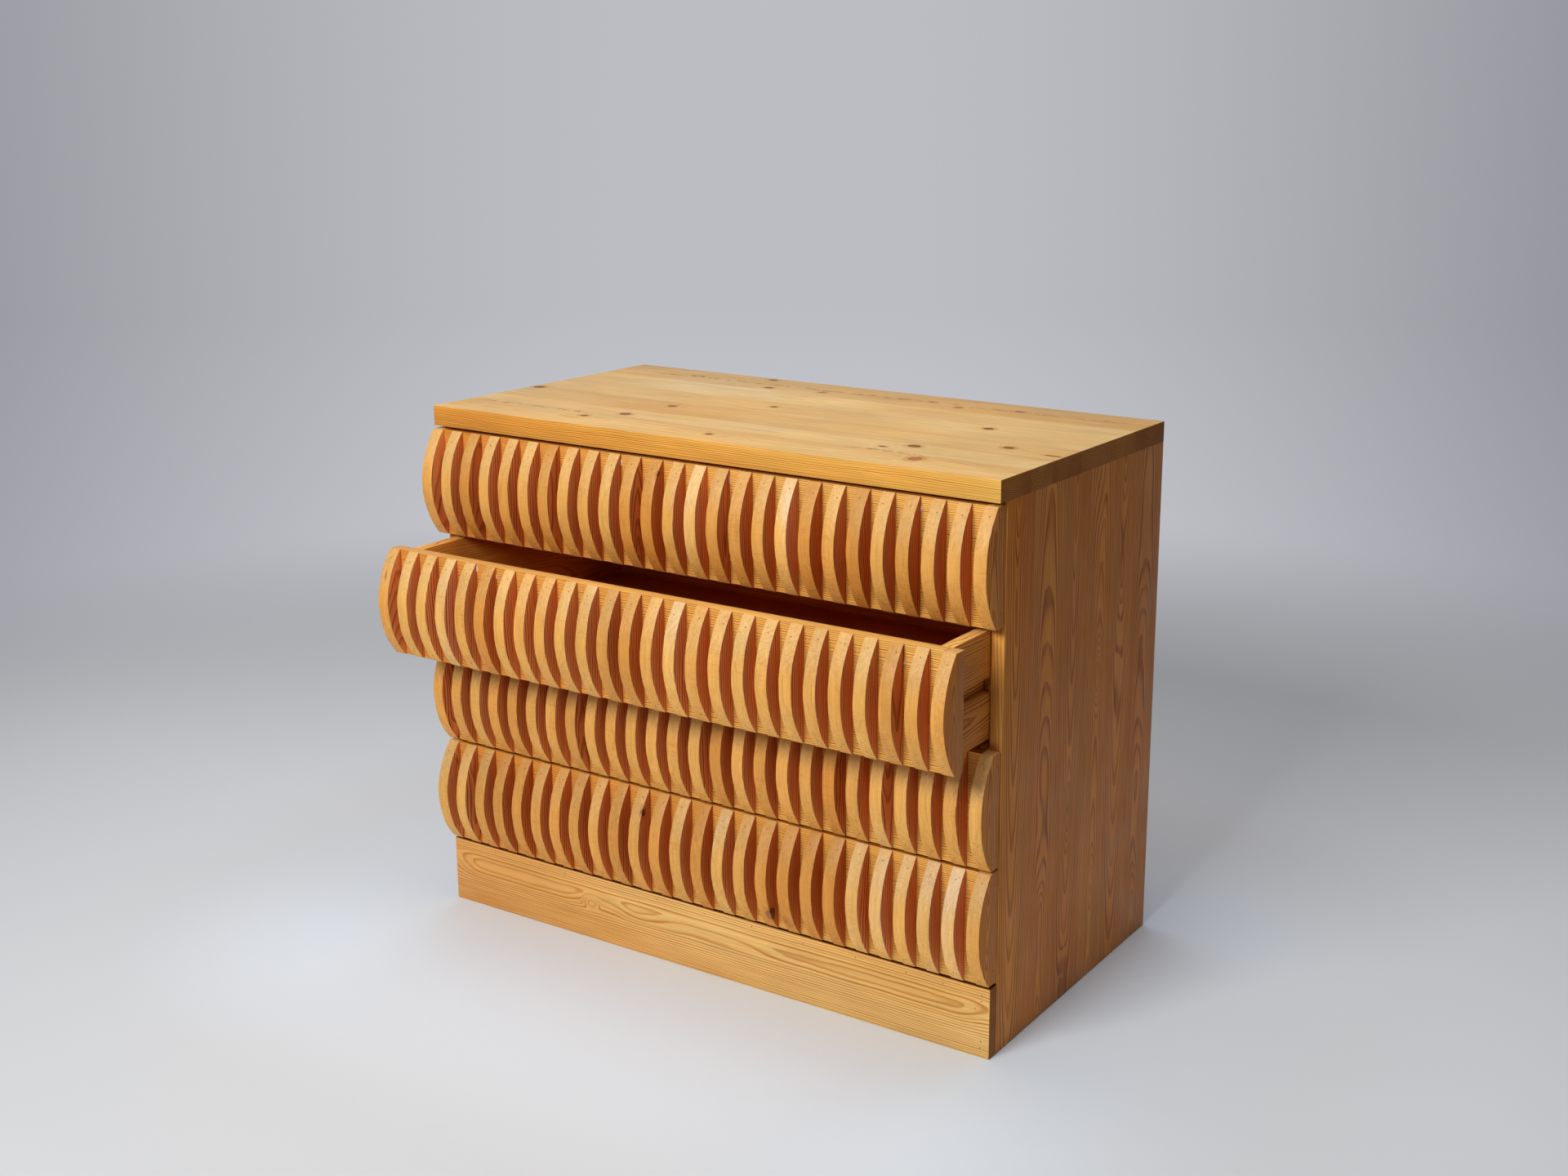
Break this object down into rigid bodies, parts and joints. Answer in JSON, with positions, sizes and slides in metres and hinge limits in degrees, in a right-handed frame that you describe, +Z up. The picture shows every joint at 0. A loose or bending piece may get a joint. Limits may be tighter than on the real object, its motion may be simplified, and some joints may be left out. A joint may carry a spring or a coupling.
{
  "type": "chest of drawers",
  "caption": "Pine chest of drawers: plain slab top, full-depth sides and plinth, and drawer fronts ribbed with upright segment-shaped fins that serve as the grips.",
  "frame": {"origin": "on the floor under the middle of the whole chest's box, with the second drawer open as stored", "axes": "+X along the width to the right seen from the front, +Y to the back, +Z up; the drawers pull out along -Y"},
  "size_m": [1, 0.652, 0.822],
  "materials": {
    "top": "satin",
    "side": "satin",
    "plinth": "satin",
    "panel": "matte",
    "runner": "matte",
    "dowel": "matte",
    "front": "satin",
    "end_fin": "satin",
    "box": "satin",
    "bottom": "matte"
  },
  "bodies": {
    "case": {"top_board": "top", "right_side_panel": "side", "left_side_panel": "side", "plinth_board": "plinth", "case_floor": "panel", "back_panel": "panel", "left_dowel_1": "dowel", "left_dowel_2": "dowel", "left_dowel_3": "dowel", "left_dowel_4": "dowel", "right_dowel_1": "dowel", "right_dowel_2": "dowel", "right_dowel_3": "dowel", "right_dowel_4": "dowel", "left_runner_1": "runner", "right_runner_1": "runner", "left_runner_2": "runner", "right_runner_2": "runner", "left_runner_3": "runner", "right_runner_3": "runner", "left_runner_4": "runner", "right_runner_4": "runner"},
    "drawer_1": {"drawer_1_front": "front", "drawer_1_left_end_fin": "end_fin", "drawer_1_right_end_fin": "end_fin", "drawer_1_right_side": "box", "drawer_1_left_side": "box", "drawer_1_back": "box", "drawer_1_bottom": "bottom"},
    "drawer_2": {"drawer_2_front": "front", "drawer_2_left_end_fin": "end_fin", "drawer_2_right_end_fin": "end_fin", "drawer_2_right_side": "box", "drawer_2_left_side": "box", "drawer_2_back": "box", "drawer_2_bottom": "bottom"},
    "drawer_3": {"drawer_3_front": "front", "drawer_3_left_end_fin": "end_fin", "drawer_3_right_end_fin": "end_fin", "drawer_3_right_side": "box", "drawer_3_left_side": "box", "drawer_3_back": "box", "drawer_3_bottom": "bottom"},
    "drawer_4": {"drawer_4_front": "front", "drawer_4_left_end_fin": "end_fin", "drawer_4_right_end_fin": "end_fin", "drawer_4_right_side": "box", "drawer_4_left_side": "box", "drawer_4_back": "box", "drawer_4_bottom": "bottom"}
  },
  "joints": [
    {"name": "drawer_1_slide", "type": "slide", "parent": "case", "child": "drawer_1", "axis": [0, -1, 0], "range_m": [0, 0.4]},
    {"name": "drawer_2_slide", "type": "slide", "parent": "case", "child": "drawer_2", "axis": [0, -1, 0], "range_m": [-0.1035, 0.2965]},
    {"name": "drawer_3_slide", "type": "slide", "parent": "case", "child": "drawer_3", "axis": [0, -1, 0], "range_m": [0, 0.4]},
    {"name": "drawer_4_slide", "type": "slide", "parent": "case", "child": "drawer_4", "axis": [0, -1, 0], "range_m": [0, 0.4]}
  ]
}
